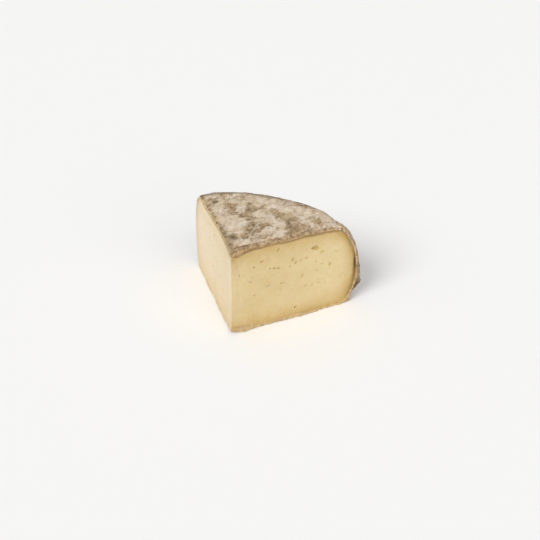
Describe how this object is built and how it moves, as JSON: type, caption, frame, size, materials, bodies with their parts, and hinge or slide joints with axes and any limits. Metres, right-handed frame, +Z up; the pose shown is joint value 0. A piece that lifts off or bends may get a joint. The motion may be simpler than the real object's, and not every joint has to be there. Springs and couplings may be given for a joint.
{
  "type": "tomme cheese wedge",
  "caption": "Wedge cut from a small round semi-hard cheese: uneven grey-brown rind on its top, side and foot, and flat cut faces of pale paste with small eyes.",
  "frame": {"origin": "centre of the bounding box, on the flat foot that the wedge rests on", "axes": "+Z up, -Y towards the point of the wedge, +Y towards the wheel's side, +X towards the right cut face"},
  "size_m": [0.1332, 0.1, 0.0695],
  "materials": {
    "paste": "smooth, slightly waxy pale yellow paste",
    "rind": "dry, rough grey-brown rind with pale mould patches"
  },
  "bodies": {
    "root": {"cheese": "paste"}
  },
  "joints": []
}
